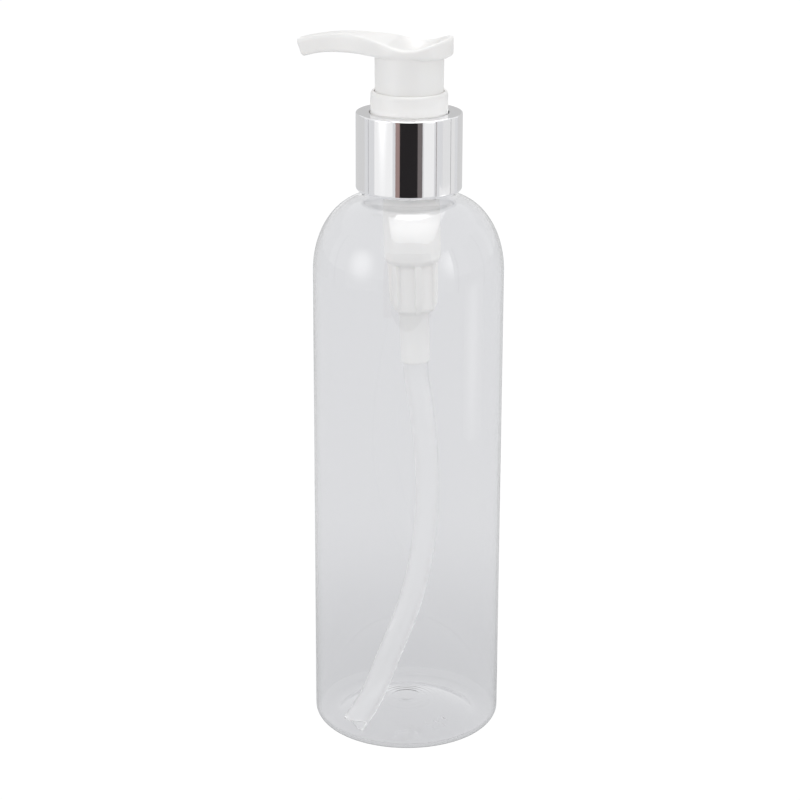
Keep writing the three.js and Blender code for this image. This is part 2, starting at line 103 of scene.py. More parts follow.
THREAD_PITCH = 3.175
THREAD_TURNS = 1.5
THREAD_DEPTH = 1.2
THREAD_START_Z = 158.2
THREAD_START = math.radians(3)
THREAD_STEP = 0.16  # height between the rings of a threaded surface

SHELL_SHEET = 0.35
SHELL_HEM = 0.8
SHELL_HOLE_R = 10.5
CAP_BORE_R = 12.35

LEAN = math.radians(1.8)
LEAN_AZIMUTH = math.radians(15)
LEAN_PIVOT_Z = 168.0
FLANGE_R = 11.6
FLANGE_BOTTOM = FINISH_TOP + 1.6
FLANGE_TOP = 170.05
POCKET_R = 10.75
POCKET_FLOOR = FLANGE_BOTTOM + 0.7
BARREL_R = 7.55
BARREL_BORE_R = 6.55
BARREL_BOTTOM = 133.4
CORE_R = 5.6
CORE_BORE_R = 4.7
CORE_BOTTOM = 118.2
RIB_COUNT = 6
RIB_WIDTH = 1.7
RIB_TOP_R = 6.85
RIB_BOTTOM_R = 6.5
RIB_BOTTOM = 121.2
RIB_PHASE = math.radians(-62.5)
SOCKET_R = 4.05
SOCKET_TIP_R = 3.88
CAGE_STEP = 124.9
CAGE_R = 3.6
SEAT_Z = 118.5
SEAT_R = 1.7
BALL_R = 2.4
BALL_Z = 121.15
ROD_FLANGE = 156.0
PISTON_BOTTOM = 158.3
PISTON_TOP = 163.0
PISTON_R = 6.2
STEM_R = 3.0
STEM_BORE_R = 1.9
SPRING_WIRE = 0.9
SPRING_R = 3.85
SPRING_TURNS = 8

SKIRT_TOP_R = 9.05
SKIRT_BOTTOM_R = 8.95
SKIRT_BORE_R = 7.9
HEAD_UNDERSIDE = 187.2
HEAD_ROOF = 185.8
SPOUT_BORE_R = 1.3
HEAD_VOXEL = 0.2

TUBE_R = 3.25
TUBE_BORE_R = 2.3
TUBE_AZIMUTH = math.radians(57.5)
TUBE_TOP = 115.8
TUBE_NOTCH = 2.4
TUBE_STEPS = 260
TUBE_SIDES = 64
# [distance along the tube's plane from the socket's mouth, height], along its curl
TUBE_ROUTE = [
    (0.7, 98), (2.1, 91.5), (4.2, 76.5), (4.7, 66), (3.9, 54), (-0.6, 37), (-9.4, 21), (-15.8, 10.6),
    (-22.4, 3.9),
]

# ---- mesh helpers ------------------------------------------------------------------------


def new_piece(name, points, faces, material, body, node):
    """A smooth mesh piece from points in millimetres; it rides on body and stands for node."""
    mesh = bpy.data.meshes.new(name)
    mesh.from_pydata([Vector(p) * MM for p in points], [], faces)
    mesh.validate()
    mesh.shade_smooth()
    piece = bpy.data.objects.new(name, mesh)
    scene.collection.objects.link(piece)
    piece.data.materials.append(material)
    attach(piece, body)
    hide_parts(node)
    return piece


def lit_through(piece):
    """Lets the lamps and the room's light through a clear piece, onto what is inside it."""
    piece.visible_shadow = False
    piece.visible_diffuse = False


def loft(rings, closed):
    """Points and faces of a skin over rings of equal length. A ring of one point is a pole.
    closed joins the last ring to the first, which makes a tube-like body."""
    points, faces, starts = [], [], []
    for ring in rings:
        starts.append(len(points))
        points.extend(ring)
    count = max(len(ring) for ring in rings)
    pairs = list(zip(range(len(rings)), range(1, len(rings))))
    if closed:
        pairs.append((len(rings) - 1, 0))
    for a, b in pairs:
        for i in range(count):
            j = (i + 1) % count
            if len(rings[a]) == 1:
                faces.append((starts[a], starts[b] + j, starts[b] + i))
            elif len(rings[b]) == 1:
                faces.append((starts[a] + i, starts[a] + j, starts[b]))
            else:
                faces.append((starts[a] + i, starts[a] + j, starts[b] + j, starts[b] + i))
    return points, faces


def arc(centre_r, centre_z, size_r, size_z, from_deg, to_deg, steps):
    """Points of an elliptical arc in the (radius, z) plane; angles are from +radius."""
    angles = [math.radians(from_deg + (to_deg - from_deg) * i / steps) for i in range(steps + 1)]
    return [(centre_r + size_r * math.cos(a), centre_z + size_z * math.sin(a)) for a in angles]


def softened(outline, ring):
    """Rounds each corner that carries a third number, its radius, and adds a point close to
    both ends of each rounding, so that flat faces stay flat in the shading."""
    result = []
    for i, corner in enumerate(outline):
        here = Vector(corner[:2])
        radius = corner[2] if len(corner) > 2 else 0
        if radius == 0 or (not ring and i in (0, len(outline) - 1)):
            result.append(tuple(here))
            continue
        before = Vector(outline[i - 1][:2]) - here
        after = Vector(outline[(i + 1) % len(outline)][:2]) - here
        half = before.angle(after) / 2
        reach = min(radius / math.tan(half), 0.45 * before.length, 0.45 * after.length)
        size = reach * math.tan(half)
        start = here + before.normalized() * reach
        end = here + after.normalized() * reach
        middle = here + (before.normalized() + after.normalized()).normalized() * (size / math.sin(half))
        turn = (start - middle).angle_signed(end - middle)
        steps = max(2, round(abs(turn) / math.radians(18)))
        guard = min(0.12, 0.3 * reach)
        result.append(tuple(start + before.normalized() * guard))
        for k in range(steps + 1):
            spoke = (start - middle).copy()
            spoke.rotate(Matrix.Rotation(-turn * k / steps, 2))
            result.append(tuple(middle + spoke))
        result.append(tuple(end + after.normalized() * guard))
    return result


def circle(radius, z, sides):
    """A level ring, or the single point of a pole."""
    if radius == 0:
        return [Vector((0, 0, z))]
    return [Vector((radius * math.cos(a), radius * math.sin(a), z))
            for a in np.linspace(0, 2 * math.pi, sides, endpoint=False)]


def turned(outline, sides=96, leaned=False):
    """A body of revolution. The outline runs up the outside and down the inside, or starts and
    ends on the axis."""
    ring = outline[0][0] > 0
    rings = [circle(r, z, sides) for r, z in softened(outline, ring)]
    points, faces = loft(rings, closed=ring)
    return (lean(points) if leaned else points), faces


lean_axis = Vector((-math.sin(LEAN_AZIMUTH), math.cos(LEAN_AZIMUTH), 0))
pivot = Matrix.Translation((0, 0, LEAN_PIVOT_Z))
LEAN_MATRIX = pivot @ Matrix.Rotation(-LEAN, 4, lean_axis) @ pivot.inverted()


def lean(points):
    """Points of the upright barrel set, carried over to its leaning place."""
    return [LEAN_MATRIX @ Vector(p) for p in points]


def smooth_curve(knots, count):
    """count + 1 points, evenly spaced, on a centripetal curve through the knots."""
    knots = [Vector(k) for k in knots]
    knots = [2 * knots[0] - knots[1]] + knots + [2 * knots[-1] - knots[-2]]
    fine = []
    for p0, p1, p2, p3 in zip(knots, knots[1:], knots[2:], knots[3:]):
        t0 = 0
        t1 = t0 + (p1 - p0).length ** 0.5
        t2 = t1 + (p2 - p1).length ** 0.5
        t3 = t2 + (p3 - p2).length ** 0.5
        for t in np.linspace(t1, t2, 40, endpoint=False):
            a1 = p0 * ((t1 - t) / (t1 - t0)) + p1 * ((t - t0) / (t1 - t0))
            a2 = p1 * ((t2 - t) / (t2 - t1)) + p2 * ((t - t1) / (t2 - t1))
            a3 = p2 * ((t3 - t) / (t3 - t2)) + p3 * ((t - t2) / (t3 - t2))
            b1 = a1 * ((t2 - t) / (t2 - t0)) + a2 * ((t - t0) / (t2 - t0))
            b2 = a2 * ((t3 - t) / (t3 - t1)) + a3 * ((t - t1) / (t3 - t1))
            fine.append(b1 * ((t2 - t) / (t2 - t1)) + b2 * ((t - t1) / (t2 - t1)))
    fine.append(knots[-2])
    fine = np.array(fine)
    along = np.concatenate([[0], np.cumsum(np.linalg.norm(np.diff(fine, axis=0), axis=1))])
    wanted = np.linspace(0, along[-1], count + 1)
    return [Vector([np.interp(w, along, fine[:, k]) for k in range(fine.shape[1])]) for w in wanted]


def sweep_frames(line):
    """At each point of a line: the point, its tangent and two steady axes across it."""
    frames = []
    normal = None
    for i, point in enumerate(line):
        tangent = (line[min(i + 1, len(line) - 1)] - line[max(i - 1, 0)]).normalized()
        if normal is None:
            normal = tangent.orthogonal().normalized()
        normal = (normal - tangent * normal.dot(tangent)).normalized()
        frames.append((point, tangent, normal, tangent.cross(normal)))
    return frames


def rod_along(line, radius, sides):
    """A round rod swept along a line, with closed ends."""
    angles = np.linspace(0, 2 * math.pi, sides, endpoint=False)
    frames = sweep_frames(line)
    rings = [[point + (normal * math.cos(a) + other * math.sin(a)) * radius for a in angles]
             for point, _, normal, other in frames]
    return loft([[line[0]]] + rings + [[line[-1]]], closed=False)


# ---- materials ---------------------------------------------------------------------------


# Nearly all values of a noise pattern lie between these two.
NOISE_LOW = 0.3
NOISE_HIGH = 0.7


def set_inputs(node, **values):
    """Sets plain values on a node's sockets. An underscore stands for a space in a name."""
    for socket, value in values.items():
        node.inputs[socket.replace("_", " ")].default_value = value


def material(name, **values):
    """A new node material, with plain values on its Principled shader."""
    made = bpy.data.materials.new(name)
    made.use_nodes = True
    shader = made.node_tree.nodes["Principled BSDF"]
    set_inputs(shader, **values)
    return made, made.node_tree, shader


def noise(tree, scale, detail=3.0, stretch=(1, 1, 1)):
    """A noise pattern in the object's own space; scale is in features per metre."""
    place = tree.nodes.new("ShaderNodeTexCoord")
    mapping = tree.nodes.new("ShaderNodeMapping")
    set_inputs(mapping, Scale=stretch)
    pattern = tree.nodes.new("ShaderNodeTexNoise")
    set_inputs(pattern, Scale=scale, Detail=detail)
    tree.links.new(place.outputs["Object"], mapping.inputs["Vector"])
    tree.links.new(mapping.outputs["Vector"], pattern.inputs["Vector"])
    return pattern.outputs["Fac"]


def between(tree, factor, low, high):
    """Maps a pattern to numbers between low and high."""
    node = tree.nodes.new("ShaderNodeMapRange")
    set_inputs(node, From_Min=NOISE_LOW, From_Max=NOISE_HIGH, To_Min=low, To_Max=high)
    tree.links.new(factor, node.inputs["Value"])
    return node.outputs["Result"]


def tones(tree, factor, dark, light):
    """Maps a pattern to colours between two tones."""
    ramp = tree.nodes.new("ShaderNodeValToRGB")
    ramp.color_ramp.elements[0].position = NOISE_LOW
    ramp.color_ramp.elements[0].color = (*dark, 1)
    ramp.color_ramp.elements[1].position = NOISE_HIGH
    ramp.color_ramp.elements[1].color = (*light, 1)
    tree.links.new(factor, ramp.inputs["Fac"])
    return ramp.outputs["Color"]


def bumped(tree, shader, factor, depth, strength=1.0):
    """Feeds a pattern to the shader's normal as relief of the given depth in metres."""
    bump = tree.nodes.new("ShaderNodeBump")
    set_inputs(bump, Strength=strength, Distance=depth)
    tree.links.new(factor, bump.inputs["Height"])
    tree.links.new(bump.outputs["Normal"], shader.inputs["Normal"])


def moulded_plastic(name, dark, light, rough, scatter, scatter_mm, grain=900):
    """Injection-moulded plastic: slight flow marks in tone and gloss, a fine grain."""
    made, tree, shader = material(name, IOR=1.49, Subsurface_Weight=scatter,
                                  Subsurface_Scale=scatter_mm * MM,
                                  Subsurface_Radius=(1.0, 0.95, 0.9))
    flow = noise(tree, 90, stretch=(1, 1, 0.35))
    tree.links.new(tones(tree, flow, dark, light), shader.inputs["Base Color"])
    gloss = between(tree, noise(tree, 260), rough - 0.04, rough + 0.05)
    tree.links.new(gloss, shader.inputs["Roughness"])
    bumped(tree, shader, noise(tree, grain, detail=2), 0.00001, 0.6)
    return made


def clear_plastic(name, clarity, tint, rough, ior, ripple):
    """Clear plastic with a real wall: light bends through both of its faces, and the faces
    wave a little, as blown and drawn plastic does. A clarity under 1 adds a white haze."""
    made, tree, shader = material(name, Transmission_Weight=clarity, IOR=ior, Base_Color=(*tint, 1))
    tree.links.new(between(tree, noise(tree, 120), rough, rough + 0.03), shader.inputs["Roughness"])
    bumped(tree, shader, noise(tree, 45, detail=1, stretch=(1, 1, 0.4)), ripple, 0.5)
    return made


def polished_metal(name, colour, rough):
    """Bright drawn sheet: nearly a mirror, with fine lengthwise draw lines and rubbed spots."""
    made, tree, shader = material(name, Metallic=1.0, Base_Color=(*colour, 1))
    rubbed = noise(tree, 180, detail=5, stretch=(1, 1, 0.5))
    tree.links.new(between(tree, rubbed, rough, rough + 0.05), shader.inputs["Roughness"])
    lines = noise(tree, 500, detail=3, stretch=(1, 1, 0.06))
    bumped(tree, shader, lines, 0.000004, 0.5)
    return made


def spring_wire(name):
    """Drawn stainless wire, slightly dull, with die lines."""
    made, tree, shader = material(name, Metallic=1.0)
    tone = noise(tree, 700, detail=4)
    tree.links.new(tones(tree, tone, (0.42, 0.43, 0.44), (0.6, 0.61, 0.62)), shader.inputs["Base Color"])
    tree.links.new(between(tree, tone, 0.2, 0.34), shader.inputs["Roughness"])
    bumped(tree, shader, noise(tree, 2500, detail=2), 0.000005, 0.5)
    return made


WHITE = moulded_plastic("white_pp", (0.95, 0.932, 0.91), (0.965, 0.955, 0.935), 0.34, 0.25, 1.2)
MILKY = moulded_plastic("milky_pp", (0.965, 0.955, 0.935), (0.985, 0.98, 0.965), 0.38, 0.2, 0.8)
SEAL = moulded_plastic("soft_pe", (0.78, 0.78, 0.76), (0.83, 0.83, 0.81), 0.5, 0.3, 1.5)
CLEAR = clear_plastic("clear_pet", 1.0, (0.995, 0.995, 1.0), 0.0, 1.57, 0.00006)
TUBE = clear_plastic("clear_pe_tube", 0.9, (1.0, 1.0, 1.0), 0.3, 1.2, 0.000001)
set_inputs(TUBE.node_tree.nodes["Principled BSDF"], Sheen_Weight=0.1)  # for its pale edges
ALUMINIUM = polished_metal("bright_aluminium", (0.93, 0.93, 0.94), 0.03)
STEEL = spring_wire("spring_steel")

# ---- bottle ------------------------------------------------------------------------------

BOTTLE_SIDES = 192
HEEL_R = BOTTLE_R - HEEL_WIDTH
SHOULDER_R = BOTTLE_R - SHOULDER_WIDTH
FOOT_START = 18.5
BLOW_RING_DEPTH = 0.012
BLOW_RING_PITCH = 1.7
# The small mould mark's dots: (radius, azimuth in degrees), then their height and size.
MARK_DOTS = [(13.0, -50), (15.1, -44), (13.2, -37), (15.2, -31), (13.1, -24)]
MARK_RISE = 0.17
MARK_R = 0.85
# (radius, height) down from the neck's bead: outside to the shoulder, and inside to it.
NECK_ROOT_OUTSIDE = [(12.9, 149.75), (12.4, 150.05), (11.9, 150.5), (11.5, 151.1), (11.3, 151.8),
                     (11.25, 152.5)]
NECK_ROOT_INSIDE = [(10.65, 151.75), (10.86, 150.95), (11.3, 150.15), (11.9, 149.55), (12.5, 149.17)]
# (radius, height) along the inside from the heel to the pushed-up base
HEEL_INSIDE = [(20.0, 0.69), (19.5, 0.81), (19.0, 1.0), (18.6, 1.21), (18.2, 1.43)]


def dome_z(radius):
    """Height of the pushed-up base at a radius, on the outside."""
    return PUSH_UP - DOME_R + math.sqrt(DOME_R ** 2 - radius ** 2)


def base_outside(radius, angle):
    """The pushed-up base with its gate mark, the faint rings that the blow leaves round it,
    and a small plain mould mark of raised dots."""
    z = dome_z(radius)
    z -= 0.06 * math.exp(-((radius / 2.4) ** 4))
    z += 0.035 * math.exp(-(((radius - 3.6) / 1.1) ** 2))
    wave = math.sin(radius * 2 * math.pi / BLOW_RING_PITCH)
    z += BLOW_RING_DEPTH * wave * math.exp(-(((radius - 6.5) / 3.2) ** 2))
    for dot_r, dot_deg in MARK_DOTS:
        turn = math.radians(dot_deg)
        away = math.hypot(radius * math.cos(angle) - dot_r * math.cos(turn),
                          radius * math.sin(angle) - dot_r * math.sin(turn))
        z -= MARK_RISE * math.exp(-((away / MARK_R) ** 4))
    return z


def thread_rise(z, angle, start_z, depth):
    """How far a thread's ridge stands from its root at a height and angle."""
    best = 0.0
    for turn in range(-1, 3):
        turns = (angle - THREAD_START) / (2 * math.pi) + turn
        if not 0 <= turns <= THREAD_TURNS:
            continue
        off = abs(z - start_z - turns * THREAD_PITCH)
        crest = min(1.0, max(0.0, (0.85 - off) / 0.45))
        run_out = min(1.0, 0.2 + 5 * min(turns, THREAD_TURNS - turns))
        best = max(best, crest * run_out)
    return depth * best


def threaded_ring(root_r, depth, z, start_z, sides):
    """A level ring that a thread's ridge crosses; a negative depth is a thread in a bore."""
    angles = np.linspace(0, 2 * math.pi, sides, endpoint=False)
    radii = [root_r + thread_rise(z, a, start_z, depth) for a in angles]
    return [Vector((r * math.cos(a), r * math.sin(a), z)) for r, a in zip(radii, angles)]


def bottle_rings():
    """The bottle's rings, from the middle of the base up the outside and down the inside."""
    angles = np.linspace(0, 2 * math.pi, BOTTLE_SIDES, endpoint=False)
    rings = [[Vector((0, 0, base_outside(0, 0)))]]
    for radius in np.linspace(0.25, FOOT_START, 74):
        rings.append([Vector((radius * math.cos(a), radius * math.sin(a), base_outside(radius, a)))
                      for a in angles])
    start_z = dome_z(FOOT_START)
    reach = HEEL_R - FOOT_START
    outside = [(FOOT_START + reach * share, start_z * (1 - share) ** 2)
               for share in np.linspace(0.1, 0.95, 12)]
    outside += arc(HEEL_R, HEEL_HEIGHT, HEEL_WIDTH, HEEL_HEIGHT, -90, 0, 18)
    outside += [(BOTTLE_R, z) for z in np.linspace(HEEL_HEIGHT + 0.6, SHOULDER_Z - 0.6, 12)]
    outside += arc(SHOULDER_R, SHOULDER_Z, SHOULDER_WIDTH, SHOULDER_HEIGHT, 0, 80, 44)
    outside += NECK_ROOT_OUTSIDE
    bead = [(11.2, 152.8), (NECK_BEAD_R, NECK_BEAD_Z, 0.2), (NECK_BEAD_R, NECK_BEAD_Z + 0.8, 0.2),
            (NECK_R, NECK_BEAD_Z + 1.3, 0.3), (NECK_R, 156.2)]
    outside += softened(bead, ring=False)[1:]
    rings += [circle(r, z, BOTTLE_SIDES) for r, z in outside]
    for z in np.arange(156.5, FINISH_TOP - 0.7, THREAD_STEP):
        rings.append(threaded_ring(NECK_R, THREAD_DEPTH, z, THREAD_START_Z, BOTTLE_SIDES))
    neck = [(NECK_R, FINISH_TOP - 0.6), (NECK_R, FINISH_TOP, 0.3), (NECK_BORE_R, FINISH_TOP, 0.3),
            (NECK_BORE_R, 154.2, 0.5), (10.3, 153.1, 0.4), (10.6, 152.4)]
    inside = softened(neck, ring=False)
    inside += NECK_ROOT_INSIDE
    inside += arc(SHOULDER_R, SHOULDER_Z, SHOULDER_WIDTH - WALL, SHOULDER_HEIGHT - WALL, 80, 0, 36)
    inside += [(BOTTLE_R - WALL, z) for z in np.linspace(SHOULDER_Z - 0.6, HEEL_HEIGHT + 0.6, 8)]
    inside += arc(HEEL_R, HEEL_HEIGHT, HEEL_WIDTH - WALL, HEEL_HEIGHT - WALL, 0, -90, 16)
    inside += HEEL_INSIDE
    inside += [(r, dome_z(r) + BASE_WALL) for r in np.linspace(17.8, 0.4, 30)]
    rings += [circle(r, z, BOTTLE_SIDES) for r, z in inside]
    rings.append([Vector((0, 0, PUSH_UP + BASE_WALL))])
    return rings


def make_bottle():
    """The blown bottle, as one skin over its inside and outside."""
    points, faces = loft(bottle_rings(), closed=False)
    bottle = new_piece("clear_bottle", points, faces, CLEAR, "bottle", "bottle")
    lit_through(bottle)


# ---- closure -----------------------------------------------------------------------------


def make_closure_cap():
    """The plastic cap under the metal, with its thread half a pitch from the neck's."""
    outer = SHELL_R - SHELL_SHEET - GAP
    bottom = SHELL_BOTTOM + SHELL_HEM + 0.5
    top = SHELL_TOP - SHELL_SHEET - GAP
    ceiling = top - 1.3
    hole = 10.45
    sides = 144
    ridge = 0.15 - THREAD_DEPTH
    ridge_start = THREAD_START_Z - THREAD_PITCH / 2
    outline = [(CAP_BORE_R, bottom, 0.2), (outer, bottom, 0.25), (outer, top, 0.5),
               (hole, top, 0.15), (hole, ceiling, 0.1), (CAP_BORE_R, ceiling, 0.2)]
    rings = [circle(r, z, sides) for r, z in softened(outline, ring=True)]
    for z in np.arange(ceiling - 1.0, 154.6, -THREAD_STEP):
        rings.append(threaded_ring(CAP_BORE_R, ridge, z, ridge_start, sides))
    points, faces = loft(rings, closed=True)
    new_piece("screw_cap", points, faces, WHITE, "closure", "closure_cap")


def make_collar_shell():
    """The drawn metal sleeve, hemmed inwards at its foot and open at its top."""
    sides = 256
    inner = SHELL_R - SHELL_SHEET
    hem = SHELL_HEM - SHELL_SHEET
    hem_z = SHELL_BOTTOM + SHELL_HEM
    hem_r = SHELL_R - SHELL_HEM
    outline = arc(hem_r, hem_z, SHELL_HEM, SHELL_HEM, -100, 0, 14)
    outline += [(SHELL_R, hem_z + 0.3), (SHELL_R, SHELL_TOP - 0.9)]
    under = SHELL_TOP - SHELL_SHEET
    top = [(SHELL_R, SHELL_TOP - 0.8), (SHELL_R, SHELL_TOP, 0.45), (SHELL_HOLE_R, SHELL_TOP, 0.12),
           (SHELL_HOLE_R, under, 0.08), (inner, under, 0.2), (inner, hem_z + 0.3)]
    outline += softened(top, ring=False)
    outline += arc(hem_r, hem_z, hem, hem, 0, -100, 10)
    points, faces = loft([circle(r, z, sides) for r, z in outline], closed=True)
    new_piece("metal_collar", points, faces, ALUMINIUM, "closure", "collar_shell")


def make_gasket():
    bottom, top = FINISH_TOP + GAP, FINISH_TOP + GAP + 1
    inner, outer = 8.3, NECK_R + 0.4
    edge = 0.15
    outline = [(inner, bottom, edge), (outer, bottom, edge), (outer, top, edge), (inner, top, edge)]
    points, faces = turned(outline)
    new_piece("neck_seal", points, faces, SEAL, "pump_body", "neck_gasket")


# ---- pump body ---------------------------------------------------------------------------


def ribbed_angles():
    """Pairs of an angle round the housing and how far the rib stands there, from 0 to 1. The
    steps are even, with more at both flanks of each rib."""
    flank = math.asin(RIB_WIDTH / 2 / RIB_TOP_R)
    angles = []
    for i in range(RIB_COUNT):
        rib = RIB_PHASE + i * 2 * math.pi / RIB_COUNT
        pitch = 2 * math.pi / RIB_COUNT
        angles += [(rib + flank * s, 1.0) for s in (-1, -0.8, -0.3, 0.3, 0.8)]
        angles += [(rib + flank * s, h) for s, h in ((1, 1.0), (1.08, 0.86), (1.16, 0.1), (1.3, 0.0))]
        angles += [(rib + flank * 1.3 + (pitch - 2.6 * flank) * k / 7, 0.0) for k in range(1, 7)]
        angles += [(rib + pitch - flank * s, h) for s, h in ((1.3, 0.0), (1.16, 0.1), (1.08, 0.86))]
    return angles


def make_housing():
    """The pump's barrel: tube socket, ribbed core and leaning barrel under an upright flange."""
    angles = ribbed_angles()

    def level(z, core, rib=None):
        radii = [core if rib is None else core + (rib - core) * share for _, share in angles]
        return [Vector((r * math.cos(a), r * math.sin(a), z)) for r, (a, _) in zip(radii, angles)]

    socket = [(TUBE_R + 0.15, SOCKET_BOTTOM + 0.1), (SOCKET_TIP_R - 0.55, SOCKET_BOTTOM + 0.02)]
    socket += arc(SOCKET_TIP_R - 0.5, SOCKET_BOTTOM + 0.55, 0.5, 0.5, -90, 0, 5)
    socket += [(SOCKET_TIP_R + 0.01, SOCKET_BOTTOM + 1), (SOCKET_R, CORE_BOTTOM - 0.2)]
    rings = [level(z, r) for r, z in socket]
    rings.append(level(CORE_BOTTOM + 0.2, SOCKET_R + 0.3, SOCKET_R + 0.35))
    rings.append(level(CORE_BOTTOM + 0.9, CORE_R - 0.35, CORE_R + 0.1))
    rings.append(level(CORE_BOTTOM + 1.3, CORE_R - 0.05, CORE_R + 0.15))
    rings.append(level(RIB_BOTTOM - 1.4, CORE_R, RIB_BOTTOM_R - 0.65))
    rings.append(level(RIB_BOTTOM - 0.3, CORE_R, RIB_BOTTOM_R - 0.1))
    rings.append(level(RIB_BOTTOM + 0.2, CORE_R, RIB_BOTTOM_R))
    for share in np.linspace(0.1, 0.9, 7):
        z = RIB_BOTTOM + (BARREL_BOTTOM - 1.6 - RIB_BOTTOM) * share
        rings.append(level(z, CORE_R, RIB_BOTTOM_R + (RIB_TOP_R - RIB_BOTTOM_R) * share))
    rings.append(level(BARREL_BOTTOM - 1.45, CORE_R, RIB_TOP_R))
    rings.append(level(BARREL_BOTTOM - 1.3, CORE_R + 0.25, RIB_TOP_R))
    rings.append(level(BARREL_BOTTOM - 1.2, RIB_TOP_R - 0.25, RIB_TOP_R + 0.02))
    shoulder = [(RIB_TOP_R + 0.1, BARREL_BOTTOM - 1.08), (BARREL_R - 0.15, BARREL_BOTTOM - 0.2),
                (BARREL_R - 0.03, BARREL_BOTTOM + 0.05), (BARREL_R, BARREL_BOTTOM + 0.4)]
    rings += [level(z, r) for r, z in shoulder]
    rings += [level(z, BARREL_R) for z in np.linspace(BARREL_BOTTOM + 4, LEAN_PIVOT_Z - 3, 8)]
    bore = [(BARREL_BORE_R, LEAN_PIVOT_Z - 3), (BARREL_BORE_R, BARREL_BOTTOM + 1.6),
            (CORE_BORE_R, BARREL_BOTTOM + 0.2), (CORE_BORE_R, CAGE_STEP - 0.2),
            (CAGE_R, CAGE_STEP - 0.2), (CAGE_R, SEAT_Z + 2.2), (SEAT_R, SEAT_Z),
            (SEAT_R, TUBE_TOP + GAP + 0.3), (TUBE_R + 0.15, TUBE_TOP + GAP)]
    flange = [(BARREL_R, FLANGE_BOTTOM - 1.5), (BARREL_R, FLANGE_BOTTOM, 0.3),
              (FLANGE_R, FLANGE_BOTTOM, 0.25), (FLANGE_R, FLANGE_TOP, 0.25),
              (POCKET_R, FLANGE_TOP, 0.2), (POCKET_R, POCKET_FLOOR, 0.2),
              (BARREL_BORE_R, POCKET_FLOOR, 0.2), (BARREL_BORE_R, FLANGE_BOTTOM - 1.5)]
    rings = [lean(ring) for ring in rings]
    rings += [level(z, r) for r, z in softened(flange, ring=False)]
    rings += [lean(level(z, r)) for r, z in bore]
    points, faces = loft(rings, closed=True)
    new_piece("pump_barrel", points, faces, MILKY, "pump_body", "pump_housing")


def make_lock_ring():
    """The white ring that stands out of the collar, with a guide for the stem in its middle."""
    bore = SKIRT_TOP_R + 0.06
    floor = 169.0
    guide_top = RING_TOP - 2.6
    guide_foot_r, guide_r = 5.6, 4.7
    hole = STEM_R + 0.4
    outline = [(hole, RING_BOTTOM, 0.2), (RING_R, RING_BOTTOM, 0.15), (RING_R, RING_TOP - 1.5)]
    outline += arc(RING_R - 0.8, RING_TOP - 1.25, 0.8, 1.25, 5, 88, 10)
    outline += [(bore, RING_TOP - 0.05, 0.12), (bore, floor, 0.3), (guide_foot_r, floor, 0.3),
                (guide_foot_r, guide_top, 0.2), (guide_r, guide_top, 0.2), (guide_r, floor, 0.3),
                (hole, floor, 0.2)]
    points, faces = turned(outline, 160)
    new_piece("lock_collar", points, faces, WHITE, "pump_body", "lock_ring")


def make_ball():
    steps, sides = 40, 64
    rings = [circle(0, BALL_Z - BALL_R, sides)]
    for i in range(1, steps):
        angle = math.pi * i / steps - math.pi / 2
        rings.append(circle(BALL_R * math.cos(angle), BALL_Z + BALL_R * math.sin(angle), sides))
    rings.append(circle(0, BALL_Z + BALL_R, sides))
    points, faces = loft(rings, closed=False)
    new_piece("check_ball", lean(points), faces, STEEL, "ball", "inlet_ball")


def make_retainer():
    """A notched washer: the rim steps in at four places round it."""
    outer = CORE_BORE_R - GAP
    bottom = CAGE_STEP + 0.1
    top = SPRING_BOTTOM - GAP
    sides = 96
    angles = np.linspace(0, 2 * math.pi, sides, endpoint=False)

    def level(z, inset):
        notched = [abs((a + 0.2) % (math.pi / 2) - 0.2) < 0.2 for a in angles]
        radii = [(CAGE_R if cut else outer) - inset for cut in notched]
        return [Vector((r * math.cos(a), r * math.sin(a), z)) for r, a in zip(radii, angles)]

    hole, bevel = 1.6, 0.12
    rings = [circle(hole, bottom + 0.1, sides), circle(hole + 0.1, bottom, sides),
             level(bottom, bevel), level(bottom + bevel, 0), level(top - bevel, 0), level(top, bevel),
             circle(hole + 0.1, top, sides), circle(hole, top - 0.1, sides)]
    points, faces = loft(rings, closed=True)
    new_piece("ball_cage", lean(points), faces, MILKY, "pump_body", "ball_retainer")


def spring_line():
    """The wire's centre line: one close turn at each end, and open turns between them."""
    close = SPRING_WIRE + 0.15
    open_turns = SPRING_TURNS - 2
    height = SPRING_TOP - SPRING_BOTTOM - SPRING_WIRE
    pitch = (height - 2 * close) / open_turns
    line = []
    for turns in np.linspace(0, SPRING_TURNS, SPRING_TURNS * 32 + 1):
        opened = min(max(turns - 1, 0), open_turns)
        z = SPRING_BOTTOM + SPRING_WIRE / 2 + (turns - opened) * close + opened * pitch
        angle = turns * 2 * math.pi
        line.append(Vector((SPRING_R * math.cos(angle), SPRING_R * math.sin(angle), z)))
    return line


def make_spring():
    """The wire coil, on a mesh of its own. In the real pump the pressed head squeezes it along its axis.
    """
    points, faces = rod_along(spring_line(), SPRING_WIRE / 2, sides=16)
    spring = new_piece("spring_coil", lean(points), faces, STEEL, "pump_body",
                       "return_spring")
    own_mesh(spring)


def make_rod():
    """The rod inside the stem, whose flange sits on the spring."""
    flange = ROD_FLANGE
    outline = [(0, flange - 2.5), (2.5, flange - 2.5, 0.2), (2.9, flange - 2, 0.1),
               (2.9, flange, 0.1), (5.2, flange, 0.15), (5.2, flange + 1, 0.2),
               (3.9, flange + 1.9, 0.2), (1.4, flange + 2.1, 0.15), (1.4, PISTON_TOP + 3.5, 0.2),
               (0, PISTON_TOP + 4)]
    points, faces = turned(outline, leaned=True)
    new_piece("pump_rod", points, faces, WHITE, "plunger", "piston_rod")


